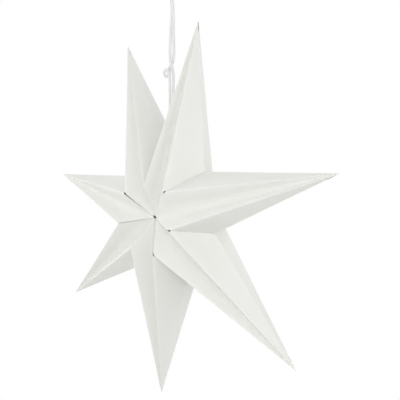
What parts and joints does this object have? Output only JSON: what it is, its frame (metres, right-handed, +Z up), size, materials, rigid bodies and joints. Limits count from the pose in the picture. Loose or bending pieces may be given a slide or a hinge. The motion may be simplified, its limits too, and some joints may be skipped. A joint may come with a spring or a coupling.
{
  "type": "paper advent star",
  "caption": "Hanging paper star with hollow pointed rays of folded white card, glued side by side, on a looped white cord with a knot.",
  "frame": {"origin": "where a hook bears inside the top of the cord's loop; the middle of the star is straight below it", "axes": "+Z up along the taut cord; the star's face looks along -Y, and +X is to the right seen from the front"},
  "size_m": [0.5845, 0.1329, 0.665],
  "materials": {
    "card": "matt off-white card, folded and glued",
    "cord": "white twisted cotton cord"
  },
  "bodies": {
    "root": {"ray_1": "card", "ray_2": "card", "ray_3": "card", "ray_4": "card", "ray_5": "card", "ray_6": "card", "ray_7": "card", "hanging_cord": "cord", "cord_knot": "cord"}
  },
  "joints": []
}
